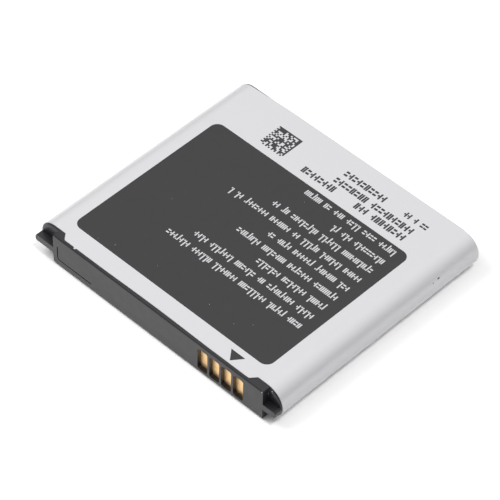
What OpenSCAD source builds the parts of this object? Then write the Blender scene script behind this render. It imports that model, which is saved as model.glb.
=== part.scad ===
// Rechargeable battery pack for a mobile phone.
// X runs along the contact edge, Y from the contact face to the far end, Z is up.
// The origin is the middle of the pack's base. Depths are measured from the contact face.

/* [Pack] */
// Width over the rounded long sides
pack_w = 52.2; // [48:0.1:60]
// Length from the contact face to the far face
pack_l = 46; // [42:0.5:60]
// Thickness over the label film
pack_t = 6.4; // [6.2:0.1:7]

/* [Cell] */
// Radius of the drawn can's far edge
can_edge = 0.5; // [0.2:0.1:1]
// Inset of the welded lid's seam from the can's outline
lid_inset = 0.45; // [0.35:0.05:0.7]
// Width of the lid's seam and of the vent's score
score_w = 0.12; // [0.08:0.02:0.2]
// Depth of the lid's seam and of the vent's score
score_deep = 0.08; // [0.04:0.02:0.12]
// Length of the scored vent
vent_l = 5; // [3.5:0.1:6]
// Height of the scored vent
vent_h = 2.4; // [1.6:0.1:3]
// Distance of the vent from the terminal
vent_x = 15; // [13:0.5:17]
// Distance of the fill plug from the terminal
plug_x = 8.5; // [5:0.5:10]
// Diameter of the fill plug
plug_d = 1.2; // [0.8:0.1:1.6]
// Depth of the fill plug in the lid
plug_deep = 0.8; // [0.5:0.1:1.2]

/* [Terminal] */
// Diameter of the terminal's plastic gasket
gasket_d = 3.2; // [2.8:0.1:3.8]
// Thickness of the gasket
gasket_t = 0.35; // [0.25:0.05:0.5]
// Depth of the gasket's seat in the lid
gasket_seat = 0.25; // [0.1:0.05:0.25]
// Diameter of the rivet's head
rivet_d = 2.4; // [1.8:0.1:2.6]
// Thickness of the rivet's head
rivet_t = 0.3; // [0.2:0.05:0.4]
// Diameter of the rivet's shank
shank_d = 1.2; // [0.8:0.1:1.5]
// Depth of the shank below the gasket
shank_deep = 0.8; // [0.4:0.1:1.2]

/* [Label] */
// Thickness of the label film
film_t = 0.1; // [0.06:0.02:0.14]
// Thickness of the printed ink
ink_t = 0.02; // [0.01:0.01:0.04]
// Flat strip of the cap left bare in front of the film
front_set = 0.18; // [0.1:0.02:0.3]
// Strip of the flange left bare in front of the film round the long sides
side_set = 0.05; // [0.02:0.01:0.3]
// Width of film left off the far corners
film_back = 0.25; // [0.1:0.05:0.5]
// From the right side to the front edge's right step
step_right = 5.2; // [5:0.05:7]
// From the left side to the front edge's left step
step_left = 5.45; // [5:0.05:7]
// Run of each slanted step along the edge
step_run = 0.9; // [0.4:0.1:1.2]
// Rounding of the steps' outer corners
step_r = 0.4; // [0.1:0.05:0.5]
// Rounding of the steps' inner corners
step_in_r = 0.15; // [0.05:0.05:0.3]
// Run of the film's slanted far left edge
far_run = 4.6; // [1:0.2:10]
// From the left side to the small nick on the front edge
nick_left = 8.75; // [8:0.25:12]
// Size of the nick
nick_size = 0.26; // [0.1:0.02:0.3]
// Gap at the seam where the film's two edges meet
seam_w = 0.15; // [0.1:0.05:0.4]

/* [Printed panel] */
// From the left side to the panel
panel_left = 4.75; // [4:0.25:8]
// From the right side to the panel
panel_right = 5.55; // [4:0.05:8]
// Depth of the panel's front edge
panel_front = 3.85; // [3.4:0.05:6]
// From the panel's far edge to the far face
panel_back = 10.1; // [4:0.1:14]
// Radius of the panel's corners
panel_r = 1.5; // [0.5:0.1:3]
// Width of the arrow mark
arrow_w = 2.9; // [1.5:0.1:4]
// Length of the arrow mark
arrow_l = 1.85; // [1:0.05:2]
// Depth of the arrow's tip
arrow_front = 0.95; // [0.8:0.05:1.3]
// From the right side to the arrow's middle
arrow_right = 10.5; // [8:0.1:14]

/* [Moulded cap] */
// Depth of the cap
cap_depth = 4.4; // [4.2:0.1:5.4]
// Thickness of the wall with the contact windows
face_wall = 0.75; // [0.6:0.05:0.9]
// Thickness of the walls over and under the board
cap_wall = 0.55; // [0.45:0.05:0.6]
// Thickness of the block's end walls
end_wall = 2; // [1.6:0.1:2.4]
// From the left side to the contact block
block_left = 4.2; // [3.6:0.1:5]
// From the right side to the contact block
block_right = 2.7; // [2.6:0.1:5]
// Rounding of the block's long edges
block_edge = 0.3; // [0.1:0.05:0.4]
// Radius of the block's lower left corner
foot_r = 0.4; // [0.2:0.05:0.8]
// Radius of the block's other corners
corner_r = 0.15; // [0.1:0.05:0.3]
// Depth of the flange behind the end tabs
flange_depth = 1.3; // [1:0.05:1.3]
// Rounding of the flange's rim, across the rim
rim_across = 0.55; // [0.2:0.05:0.8]
// Rounding of the flange's rim, along the pack
rim_along = 0.25; // [0.1:0.05:0.3]
// Height of the end tabs' underside
tab_z = 2.27; // [1.8:0.05:2.8]
// Thickness of the end tabs
tab_t = 1.2; // [0.8:0.05:1.6]
// From the long side to the tab's end
tab_inset = 0.15; // [0.15:0.05:1]
// Rounding of the tab's outer corners
tab_r = 0.35; // [0.1:0.05:0.4]
// Fillet under the left tab
tab_fillet = 0.55; // [0.2:0.05:0.8]
// Wall left round the cores at the cap's ends
core_wall = 0.8; // [0.6:0.05:1]
// Depth of the floor in front of the cores
core_floor = 2.2; // [2:0.1:2.6]
// Reach of the noses that hold the board
nose_in = 0.45; // [0.3:0.05:0.6]
// Length of the noses' ramp
nose_l = 0.9; // [0.6:0.1:1.2]
// Height of the noses
nose_h = 2.4; // [1.5:0.1:3]

/* [Face groove] */
// Width of the fine groove on the contact face
groove_w = 0.2; // [0.1:0.05:0.3]
// Depth of the groove
groove_deep = 0.15; // [0.1:0.05:0.3]
// From the block's left end to the upright stretch
groove_in = 0.95; // [0.7:0.05:1.5]
// Height of the level stretch
groove_z = 1.5; // [1:0.05:2]
// Height of the upright stretch's top
groove_top = 4.25; // [3.5:0.05:5]
// Length of the level stretch
groove_l = 7.5; // [4:0.25:12]
// Radius of the groove's bend
groove_r = 0.5; // [0.3:0.05:0.8]

/* [Contacts] */
// Distance between neighbouring contacts
pitch = 2.5; // [2.4:0.05:2.8]
// Width of a contact window
window_w = 2.08; // [1.6:0.02:2.1]
// Height of a contact window
window_h = 4.45; // [3.5:0.05:4.5]
// Height of the windows' lower edge
window_z = 0.8; // [0.8:0.05:1.2]
// Radius of the windows' corners
window_r = 0.4; // [0.1:0.05:0.6]
// From the block's right end to the last contact's middle
contact_right = 5.1; // [4.5:0.1:7]
// Thickness of the gold contact plates
pad_t = 0.05; // [0.03:0.01:0.1]
// How far a contact plate reaches past its window
pad_over = 0.1; // [0.04:0.02:0.1]

/* [Circuit board] */
// Thickness of the board
board_t = 0.7; // [0.5:0.05:0.9]
// Clearance round the board
board_clear = 0.05; // [0.03:0.01:0.1]
// Length of each nickel land
land_l = 3.2; // [2.6:0.1:3.6]
// Height of each nickel land
land_h = 2.6; // [2:0.1:3]
// Thickness of each nickel land
land_t = 0.2; // [0.15:0.05:0.3]
// From the board's left end to the middle of the positive land
plus_in = 4.5; // [4.2:0.1:5]
// From the cutoff's end to the middle of the negative land
minus_past = 2.4; // [2.2:0.1:3]
// Thickness of the packaged chips
chip_t = 0.9; // [0.7:0.05:1]
// Width of the protection chip's body
chip_w = 1.6; // [1.2:0.1:1.8]
// Height of the protection chip's body
chip_h = 2.9; // [2.4:0.1:3.2]
// Width of the protection chip over its legs
chip_span = 2.8; // [2.6:0.1:3]
// Distance between the protection chip's legs
chip_pitch = 0.95; // [0.65:0.05:1]
// Gap between the positive land and the protection chip
chip_gap = 2.5; // [2:0.1:3]
// Width of the power switch's body
switch_w = 4.4; // [4:0.1:4.6]
// Height of the power switch's body
switch_h = 3; // [2.4:0.1:3.4]
// Width of the power switch over its legs
switch_span = 6.4; // [6.2:0.1:6.6]
// Distance between the power switch's legs
switch_pitch = 0.65; // [0.5:0.05:0.8]
// Gap between the protection chip and the power switch
switch_gap = 1; // [0.6:0.1:1.4]
// Thickness of the chips' bent legs
leg_t = 0.12; // [0.08:0.01:0.15]
// Width of the chips' bent legs
leg_w = 0.25; // [0.15:0.05:0.3]
// Length of the chips' feet
leg_foot = 0.4; // [0.3:0.05:0.5]
// Length of the small chip parts
small_l = 1; // [0.8:0.1:1.2]
// Width of the small chip parts
small_w = 0.5; // [0.4:0.05:0.6]
// Thickness of the small chip parts
small_t = 0.35; // [0.3:0.05:0.5]
// Distance between the middles of the small chip parts
small_pitch = 1.3; // [1:0.1:1.4]
// Gap between the power switch and the first small chip part
small_gap = 1; // [0.6:0.1:1.6]

/* [Leads and cutoff] */
// Thickness of the nickel leads
lead_t = 0.1; // [0.08:0.01:0.15]
// Width of the nickel leads
lead_w = 2.4; // [1.6:0.1:2.6]
// Thickness of the insulating sheet
sheet_t = 0.15; // [0.1:0.05:0.2]
// Clearance round the insulating sheet's openings
sheet_gap = 0.2; // [0.1:0.05:0.3]
// Length of the thermal cutoff
cutoff_l = 5.4; // [4.5:0.1:5.8]
// Height of the thermal cutoff
cutoff_h = 3.6; // [3:0.1:4]
// Thickness of the thermal cutoff
cutoff_t = 1.1; // [0.9:0.05:1.2]
// Easing of the cutoff's long edges
cutoff_edge = 0.15; // [0.05:0.05:0.3]
// Distance of the cutoff from the terminal
cutoff_x = 3; // [2.6:0.1:3.4]
// Depth of the cutoff's slots that take the arms
arm_seat = 0.6; // [0.3:0.1:0.8]
// Length of the cutoff's free arm
arm_l = 2.8; // [2:0.1:3.2]
// Length of the positive lead's welded end
weld_l = 3.6; // [3:0.1:4]
// From a land's end to the start of its lead's fold
fold_past = 0.8; // [0.3:0.1:1]
// From the cutoff to the end of the negative lead
weld_gap = 0.3; // [0.2:0.1:0.5]

/* [Far end] */
// Thickness of the far plate
plate_t = 0.6; // [0.4:0.05:1]
// Easing of the far plate's outer edge
plate_edge = 0.1; // [0.05:0.05:0.2]
// Thickness of the adhesive tapes
tape_t = 0.1; // [0.05:0.05:0.2]
// Inset of the tapes from the outline
tape_inset = 0.25; // [0.1:0.05:0.5]

/* [Hidden] */
$fn = 64;
// Overshoot of a cut past the face that it opens
over = 0.2;
contacts = 4;
row_parts = 3;
// Legs on each side of a packaged chip
chip_legs = 3;
switch_legs = 4;
front_y = -pack_l / 2;
left_x = -pack_w / 2;
right_x = pack_w / 2;
mid_z = pack_t / 2;
// The can and the cap share one outline, just inside the film
core_w = pack_w - 2 * film_t;
core_t = pack_t - 2 * film_t;
top_z = pack_t - film_t;
lid_depth = cap_depth + tape_t;
can_end = pack_l - plate_t - tape_t;
block_x0 = left_x + block_left;
block_x1 = right_x - block_right;
pocket_x0 = block_x0 + end_wall;
pocket_x1 = block_x1 - end_wall;
pocket_z0 = film_t + cap_wall;
pocket_z1 = top_z - cap_wall;
pad_depth = face_wall + pad_t;
rear_depth = pad_depth + board_t;
land_depth = rear_depth + land_t;
sheet_depth = lid_depth - sheet_t;
gasket_depth = lid_depth - (gasket_t - gasket_seat);
rivet_depth = gasket_depth - rivet_t;
arm_depth = rivet_depth - lead_t;
tab_x = right_x - tab_inset;
film_front = block_edge + front_set;
film_side = flange_depth + rim_along + side_set;
plus_x = pocket_x0 + board_clear + plus_in;
minus_x = cutoff_x + cutoff_l + minus_past;
chip_x = plus_x + land_l / 2 + chip_gap + chip_span / 2;
switch_x = chip_x + chip_span / 2 + switch_gap + switch_span / 2;
small_x = switch_x + switch_span / 2 + small_gap + small_w / 2;
// Each lead folds in a half turn between its weld and its land
plus_fold_x = plus_x - land_l / 2 - fold_past;
plus_fold_r = (lid_depth - land_depth) / 2;
minus_fold_x = minus_x + land_l / 2 + fold_past;

function unit(v) = v / norm(v);
// Arc of radius r that rounds the corner p between its neighbours a and b
function corner(a, p, b, r, n) =
    let (u = unit(a - p), v = unit(b - p), half = acos(u * v) / 2)
    let (c = p + unit(u + v) * r / sin(half), s = p + u * r / tan(half) - c, e = p + v * r / tan(half) - c)
    [for (k = [0:n]) c + r * unit(s * sin((n - k) * (180 - 2 * half) / n)
                                 + e * sin(k * (180 - 2 * half) / n))];
// Points of an outline whose corner k is rounded to radii[k]
function rounded(points, radii, n = 6) =
    let (m = len(points))
    [for (k = [0:m - 1]) each radii[k] > 0
        ? corner(points[(k + m - 1) % m], points[k], points[(k + 1) % m], radii[k], n)
        : [points[k]]];

// A flat sketch pushed along Y, with its own Y standing up as Z
module along_y(depth, l) {
    translate([0, front_y + depth + l, 0])
        rotate([90, 0, 0])
            linear_extrude(l)
                children();
}

// A sketch of depth across and height up, pushed along X
module along_x(x, l) {
    translate([x, front_y, 0])
        rotate([90, 0, 90])
            linear_extrude(l)
                children();
}

// A sketch seen from above, with its Y as depth
module on_top(z, t) {
    translate([0, front_y, z])
        linear_extrude(t)
            children();
}

// The full-round section of the pack
module section(w, t) {
    translate([0, mid_z]) {
        square([w - t, t], center = true);
        for (side = [-1, 1])
            translate([side * (w - t) / 2, 0])
                circle(d = t);
    }
}

module rounded_square(w, h, r) {
    square([w - 2 * r, h], center = true);
    square([w, h - 2 * r], center = true);
    for (x = [-1, 1], y = [-1, 1])
        translate([x * (w / 2 - r), y * (h / 2 - r)])
            circle(r = r);
}

// What a round corner leaves of a square one
module corner_bit(r) {
    difference() {
        square(r);
        translate([r, r])
            circle(r = r);
    }
}

// The full-round section from one depth to another, its front rim rounded to a quarter ellipse
module eased_bar(depth, l, across, along) {
    r = core_t / 2;
    rim = [for (a = [0:15:90]) [r - across + across * sin(a), along * (1 - cos(a))]];
    half = concat([[0, 0]], rim, [[r, l], [0, l]]);
    whole = concat([[0, -r + across]], [for (p = rim) [p[1], p[0]]], [[l, r], [l, -r]],
                   [for (k = [len(rim) - 1:-1:1]) [rim[k][1], -rim[k][0]]]);
    translate([0, front_y + depth, mid_z]) {
        for (side = [-1, 1])
            translate([side * (core_w - core_t) / 2, 0, 0])
                rotate([-90, 0, 0])
                    rotate_extrude()
                        polygon(half);
        translate([-(core_w - core_t) / 2, 0, 0])
            rotate([90, 0, 90])
                linear_extrude(core_w - core_t)
                    polygon(whole);
    }
}

// The same bar with its far rim rounded instead
module far_eased_bar(depth, l, across, along) {
    translate([0, 2 * (front_y + depth) + l, 0])
        mirror([0, 1, 0])
            eased_bar(depth, l, across, along);
}

// A nickel strip folded back on itself round a half turn
module folded_strip(low, high, fold_x, leg_low, leg_high, way) {
    r = (high - low) / 2;
    translate([0, front_y, mid_z - lead_w / 2])
        linear_extrude(lead_w) {
            difference() {
                translate([fold_x, low + r])
                    circle(r = r);
                translate([fold_x, low + r])
                    circle(r = r - lead_t);
                translate([way > 0 ? fold_x - 2 * r : fold_x, low - over])
                    square([2 * r, 2 * r + 2 * over]);
            }
            translate([way > 0 ? fold_x - leg_low : fold_x, low])
                square([leg_low, lead_t]);
            translate([way > 0 ? fold_x - leg_high : fold_x, high - lead_t])
                square([leg_high, lead_t]);
        }
}

// The sealed can, drawn with a round far edge and closed by a welded lid
module cell() {
    color("silver")
    difference() {
        far_eased_bar(lid_depth, can_end - lid_depth, can_edge, can_edge);
        along_y(lid_depth - over, over + score_deep)
            difference() {
                section(core_w - 2 * lid_inset, core_t - 2 * lid_inset);
                section(core_w - 2 * lid_inset - 2 * score_w, core_t - 2 * lid_inset - 2 * score_w);
            }
        along_y(lid_depth - over, over + score_deep)
            translate([vent_x, mid_z])
                difference() {
                    rounded_square(vent_l, vent_h, vent_h / 2 - score_w);
                    rounded_square(vent_l - 2 * score_w, vent_h - 2 * score_w, vent_h / 2 - 2 * score_w);
                }
        along_y(lid_depth - over, over + gasket_seat)
            translate([0, mid_z])
                circle(d = gasket_d);
        along_y(lid_depth, gasket_seat + shank_deep)
            translate([0, mid_z])
                circle(d = shank_d);
        along_y(lid_depth - over, over + plug_deep)
            translate([-plug_x, mid_z])
                circle(d = plug_d);
    }
}

module terminal_gasket() {
    color("whitesmoke")
    along_y(gasket_depth, gasket_t)
        translate([0, mid_z])
            difference() {
                circle(d = gasket_d);
                circle(d = shank_d);
            }
}

module terminal_rivet() {
    color("gainsboro") {
        along_y(rivet_depth, rivet_t)
            translate([0, mid_z])
                circle(d = rivet_d);
        along_y(gasket_depth, gasket_t + shank_deep)
            translate([0, mid_z])
                circle(d = shank_d);
    }
}

module fill_plug() {
    color("lightgray")
    along_y(lid_depth, plug_deep)
        translate([-plug_x, mid_z])
            circle(d = plug_d);
}

// Die-cut sheet on the lid, open round the terminal and where the positive lead is welded
module header_sheet() {
    color("ivory")
    along_y(sheet_depth, sheet_t)
        difference() {
            translate([(pocket_x0 + pocket_x1) / 2, mid_z])
                square([pocket_x1 - pocket_x0 - 2 * sheet_gap, pocket_z1 - pocket_z0 - 2 * sheet_gap],
                       center = true);
            translate([0, mid_z])
                circle(d = gasket_d + 2 * sheet_gap);
            translate([plus_fold_x - plus_fold_r - sheet_gap, mid_z - lead_w / 2 - sheet_gap])
                square([plus_fold_r + weld_l + 2 * sheet_gap, lead_w + 2 * sheet_gap]);
        }
}

module plus_lead() {
    color("gainsboro")
    folded_strip(land_depth, lid_depth, plus_fold_x, fold_past + land_l, weld_l, -1);
}

module minus_lead() {
    color("gainsboro")
    folded_strip(land_depth, arm_depth, minus_fold_x, fold_past + land_l,
                 minus_fold_x - cutoff_x - cutoff_l - weld_gap, 1);
}

// A flat resettable cutoff with eased edges that lies on the insulating sheet
module thermal_cutoff() {
    color("dimgray")
    difference() {
        along_x(cutoff_x, cutoff_l)
            translate([sheet_depth - cutoff_t / 2, mid_z])
                rounded_square(cutoff_t, cutoff_h, cutoff_edge);
        for (x = [cutoff_x - over, cutoff_x + cutoff_l - arm_seat])
            translate([x, front_y + arm_depth, mid_z - lead_w / 2])
                cube([arm_seat + over, lead_t, lead_w]);
    }
}

module rivet_arm() {
    color("gainsboro")
    translate([-rivet_d / 2, front_y + arm_depth, mid_z - lead_w / 2])
        cube([rivet_d / 2 + cutoff_x + arm_seat, lead_t, lead_w]);
}

module outlet_arm() {
    color("gainsboro")
    translate([cutoff_x + cutoff_l - arm_seat, front_y + arm_depth, mid_z - lead_w / 2])
        cube([arm_seat + arm_l, lead_t, lead_w]);
}

module board() {
    color("darkgreen")
    along_y(pad_depth, board_t)
        translate([pocket_x0 + board_clear, pocket_z0 + board_clear])
            square([pocket_x1 - pocket_x0 - 2 * board_clear, pocket_z1 - pocket_z0 - 2 * board_clear]);
}

module land(x) {
    color("lightgray")
    along_y(rear_depth, land_t)
        translate([x, mid_z])
            square([land_l, land_h], center = true);
}

// A moulded chip with bent legs on its two long sides
module packaged_chip(x, w, h, legs, leg_gap, span) {
    knee = span / 2 - leg_foot;
    along_y(rear_depth + leg_t, chip_t - leg_t)
        translate([x, mid_z])
            square([w, h], center = true);
    for (side = [-1, 1], k = [0:legs - 1])
        translate([x, front_y + rear_depth, mid_z + (k - (legs - 1) / 2) * leg_gap - leg_w / 2])
            linear_extrude(leg_w)
                mirror([side < 0 ? 1 : 0, 0])
                    polygon([[w / 2 - over, chip_t / 2], [knee - leg_t, chip_t / 2], [knee - leg_t, 0],
                             [span / 2, 0], [span / 2, leg_t], [knee, leg_t],
                             [knee, chip_t / 2 + leg_t], [w / 2 - over, chip_t / 2 + leg_t]]);
}

module protection_chip() {
    color([0.13, 0.13, 0.14])
    packaged_chip(chip_x, chip_w, chip_h, chip_legs, chip_pitch, chip_span);
}

module power_switch() {
    color([0.13, 0.13, 0.14])
    packaged_chip(switch_x, switch_w, switch_h, switch_legs, switch_pitch, switch_span);
}

// One row of small end-capped parts across the board
module small_row(z) {
    for (k = [0:row_parts - 1])
        along_y(rear_depth, small_t)
            translate([small_x + k * small_pitch, z])
                square([small_w, small_l], center = true);
}

module chip_resistors() {
    color([0.2, 0.2, 0.22])
    small_row(mid_z + small_l);
}

module chip_capacitors() {
    color("tan")
    small_row(mid_z - small_l);
}

function contact_x(k) = block_x1 - contact_right - (contacts - 1 - k) * pitch;

module contact(k) {
    color([0.96, 0.82, 0.56])
    along_y(face_wall, pad_t)
        translate([contact_x(k), window_z + window_h / 2])
            square([window_w + 2 * pad_over, window_h + 2 * pad_over], center = true);
}

// Front view of the contact block with its end tabs
module block_outline() {
    difference() {
        translate([block_x0, film_t])
            square([block_x1 - block_x0, core_t]);
        translate([block_x0, film_t])
            corner_bit(foot_r);
        translate([block_x1, film_t])
            rotate(90)
                corner_bit(corner_r);
        translate([block_x1, top_z])
            rotate(180)
                corner_bit(corner_r);
        translate([block_x0, top_z])
            rotate(270)
                corner_bit(corner_r);
    }
    translate([0, tab_z + tab_t / 2])
        rounded_square(2 * tab_x, tab_t, tab_r);
    translate([block_x0, tab_z])
        rotate(180)
            corner_bit(tab_fillet);
}

// Side view of the block, round on its two long front edges
module block_side(l) {
    difference() {
        translate([0, film_t])
            square([l, core_t]);
        translate([0, film_t])
            corner_bit(block_edge);
        translate([0, top_z])
            rotate(270)
                corner_bit(block_edge);
    }
}

module face_groove() {
    x = block_x0 + groove_in;
    translate([x - groove_w / 2, groove_z + groove_r])
        square([groove_w, groove_top - groove_z - groove_r]);
    translate([x + groove_r, groove_z - groove_w / 2])
        square([groove_l - groove_r, groove_w]);
    intersection() {
        translate([x + groove_r, groove_z + groove_r])
            difference() {
                circle(r = groove_r + groove_w / 2);
                circle(r = groove_r - groove_w / 2);
            }
        translate([x - groove_w / 2, groove_z - groove_w / 2])
            square(groove_r + groove_w / 2);
    }
}

// Hollows behind the round ends, so that the moulding keeps even walls
module end_cores() {
    difference() {
        section(core_w - 2 * core_wall, core_t - 2 * core_wall);
        translate([pocket_x0 - core_wall, 0])
            square([pocket_x1 - pocket_x0 + 2 * core_wall, pack_t]);
    }
}

// Wedge noses that snap behind the board
module noses() {
    depth = front_y + rear_depth;
    translate([0, 0, mid_z - nose_h / 2])
        linear_extrude(nose_h) {
            polygon([[pocket_x0 - over, depth], [pocket_x0 + nose_in, depth],
                     [pocket_x0, depth + nose_l], [pocket_x0 - over, depth + nose_l]]);
            polygon([[pocket_x1 + over, depth], [pocket_x1 - nose_in, depth],
                     [pocket_x1, depth + nose_l], [pocket_x1 + over, depth + nose_l]]);
        }
}

module end_cap() {
    block_l = flange_depth + rim_along;
    color([0.27, 0.27, 0.28]) {
        difference() {
            union() {
                intersection() {
                    along_y(0, block_l)
                        block_outline();
                    along_x(left_x, pack_w)
                        block_side(block_l);
                }
                eased_bar(flange_depth, cap_depth - flange_depth, rim_across, rim_along);
            }
            along_y(face_wall, cap_depth)
                translate([(pocket_x0 + pocket_x1) / 2, mid_z])
                    rounded_square(pocket_x1 - pocket_x0, pocket_z1 - pocket_z0, board_clear);
            along_y(core_floor, cap_depth)
                end_cores();
            for (k = [0:contacts - 1])
                along_y(-over, face_wall + 2 * over)
                    translate([contact_x(k), window_z + window_h / 2])
                        rounded_square(window_w, window_h, window_r);
            along_y(-over, over + groove_deep)
                face_groove();
        }
        noses();
    }
}

// Die-cut frame of tape that holds the cap on the lid
module cap_tape() {
    color("lightyellow")
    along_y(cap_depth, tape_t)
        difference() {
            section(core_w - 2 * tape_inset, core_t - 2 * tape_inset);
            translate([pocket_x0, pocket_z0])
                square([pocket_x1 - pocket_x0, pocket_z1 - pocket_z0]);
        }
}

module far_tape() {
    color("lightyellow")
    along_y(can_end, tape_t)
        section(core_w - 2 * can_edge - 2 * tape_inset, core_t - 2 * can_edge - 2 * tape_inset);
}

module far_plate() {
    color([0.22, 0.22, 0.23])
    far_eased_bar(can_end + tape_t, plate_t, plate_edge, plate_edge);
}

// The film's cut outline over a flat face, with a slanted step at each front corner
module film_outline() {
    flat = (pack_w - pack_t) / 2;
    left = left_x + step_left;
    right = right_x - step_right;
    polygon(rounded([[-flat, film_side], [left, film_side], [left + step_run, film_front],
                     [right - step_run, film_front], [right, film_side], [flat, film_side],
                     [flat, pack_l - film_back], [flat - film_back, pack_l],
                     [far_run - flat, pack_l], [-flat, pack_l - film_back]],
                    [0, step_in_r, step_r, step_r, step_in_r, 0, 0, 0, 0, 0]));
}

// A scrap that the cutter left on the front edge
module film_nick() {
    x = left_x + nick_left;
    polygon([[x - nick_size, film_front + over], [x - nick_size, film_front],
             [x - nick_size / 2, film_front - nick_size], [x + nick_size / 2, film_front - nick_size],
             [x + nick_size, film_front], [x + nick_size, film_front + over]]);
}

module panel_outline() {
    translate([(left_x + panel_left + right_x - panel_right) / 2, (panel_front + pack_l - panel_back) / 2])
        rounded_square(pack_w - panel_left - panel_right, pack_l - panel_front - panel_back, panel_r);
}

module arrow_outline() {
    translate([right_x - arrow_right, arrow_front])
        polygon([[0, 0], [arrow_w / 2, arrow_l], [-arrow_w / 2, arrow_l]]);
}

// Film wrapped round the can and the cap, its edges meeting on the left side
module label_film() {
    color([0.88, 0.88, 0.89])
    difference() {
        union() {
            along_y(film_side, pack_l - film_side - film_back)
                section(pack_w, pack_t);
            on_top(top_z, film_t) {
                film_outline();
                film_nick();
            }
            on_top(0, film_t)
                film_outline();
        }
        along_y(-over, pack_l + 2 * over)
            section(core_w, core_t);
        translate([left_x - over, front_y, mid_z - seam_w / 2])
            cube([film_t + 2 * over, pack_l, seam_w]);
        on_top(pack_t - ink_t, ink_t + over) {
            panel_outline();
            arrow_outline();
        }
    }
}

module printed_panel() {
    color([0.28, 0.28, 0.29])
    on_top(pack_t - ink_t, ink_t)
        panel_outline();
}

module arrow_mark() {
    color([0.28, 0.28, 0.29])
    on_top(pack_t - ink_t, ink_t)
        arrow_outline();
}

cell();
terminal_gasket();
terminal_rivet();
fill_plug();
header_sheet();
plus_lead();
thermal_cutoff();
rivet_arm();
outlet_arm();
minus_lead();
board();
land(plus_x);  // plus_land
land(minus_x);  // minus_land
protection_chip();
power_switch();
chip_resistors();
chip_capacitors();
contact(0);  // contact_1
contact(1);  // contact_2
contact(2);  // contact_3
contact(3);  // contact_4
end_cap();
cap_tape();
far_tape();
far_plate();
label_film();
printed_panel();
arrow_mark();
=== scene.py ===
"""A mobile phone battery pack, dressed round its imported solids.

The solids stay where the frame puts them and get their finishes here. The label film is made anew
as one smooth wrapped surface, and what is printed on it becomes plain ticks, dashes and squares.
Lengths are in millimetres until a mesh is made. Depths are measured from the contact face.
"""

import logging
import math
from dataclasses import dataclass, field
from enum import Enum
from typing import Any

import bpy
import numpy as np
from mathutils import Matrix, Vector


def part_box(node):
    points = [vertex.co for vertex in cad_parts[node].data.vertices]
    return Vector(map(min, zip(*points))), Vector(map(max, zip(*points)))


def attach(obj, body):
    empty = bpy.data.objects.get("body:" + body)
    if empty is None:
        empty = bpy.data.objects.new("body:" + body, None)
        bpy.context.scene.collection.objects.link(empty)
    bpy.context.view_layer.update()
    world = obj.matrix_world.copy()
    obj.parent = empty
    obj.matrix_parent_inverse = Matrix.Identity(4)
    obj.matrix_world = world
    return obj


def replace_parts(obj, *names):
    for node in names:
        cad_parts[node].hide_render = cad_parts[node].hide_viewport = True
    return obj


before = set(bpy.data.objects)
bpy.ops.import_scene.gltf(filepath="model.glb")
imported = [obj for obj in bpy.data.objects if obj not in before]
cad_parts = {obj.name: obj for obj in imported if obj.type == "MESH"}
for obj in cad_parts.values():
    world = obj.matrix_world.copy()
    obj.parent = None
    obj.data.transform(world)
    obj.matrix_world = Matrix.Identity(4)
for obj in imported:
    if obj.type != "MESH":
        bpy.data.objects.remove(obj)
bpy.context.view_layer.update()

LOG = logging.getLogger("battery")
MM = 0.001
BODY = "root"

Rgb = tuple[float, float, float]


class Signal:
    """One output of a shader's node, with the operators that add Math nodes behind it."""

    def __init__(self, shader: "Shader", socket: bpy.types.NodeSocket) -> None:
        """Keeps the socket and the shader that it belongs to.

        Args:
            shader: the shader whose tree holds the socket.
            socket: the output socket.
        """
        self.shader = shader
        self.socket = socket

    def math(self, operation: str, first: "Signal | float", second: "Signal | float") -> "Signal":
        """Adds one Math node.

        Args:
            operation: the Math node's operation.
            first: its first value.
            second: its second value.

        Returns:
            The node's result.
        """
        return self.shader.node("ShaderNodeMath", {"operation": operation}, {0: first, 1: second})

    def __add__(self, other: "Signal | float") -> "Signal":
        """The sum."""
        return self.math("ADD", self, other)

    def __radd__(self, other: float) -> "Signal":
        """The sum with a number in front."""
        return self.math("ADD", other, self)

    def __sub__(self, other: "Signal | float") -> "Signal":
        """The difference."""
        return self.math("SUBTRACT", self, other)

    def __rsub__(self, other: float) -> "Signal":
        """The difference from a number."""
        return self.math("SUBTRACT", other, self)

    def __mul__(self, other: "Signal | float") -> "Signal":
        """The product."""
        return self.math("MULTIPLY", self, other)

    def __rmul__(self, other: float) -> "Signal":
        """The product with a number in front."""
        return self.math("MULTIPLY", other, self)

    def __gt__(self, other: "Signal | float") -> "Signal":
        """One where this is the larger, and zero elsewhere."""
        return self.math("GREATER_THAN", self, other)

    def at_most(self, other: "Signal | float") -> "Signal":
        """The smaller of the two."""
        return self.math("MINIMUM", self, other)

    def at_least(self, other: "Signal | float") -> "Signal":
        """The larger of the two."""
        return self.math("MAXIMUM", self, other)


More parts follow.
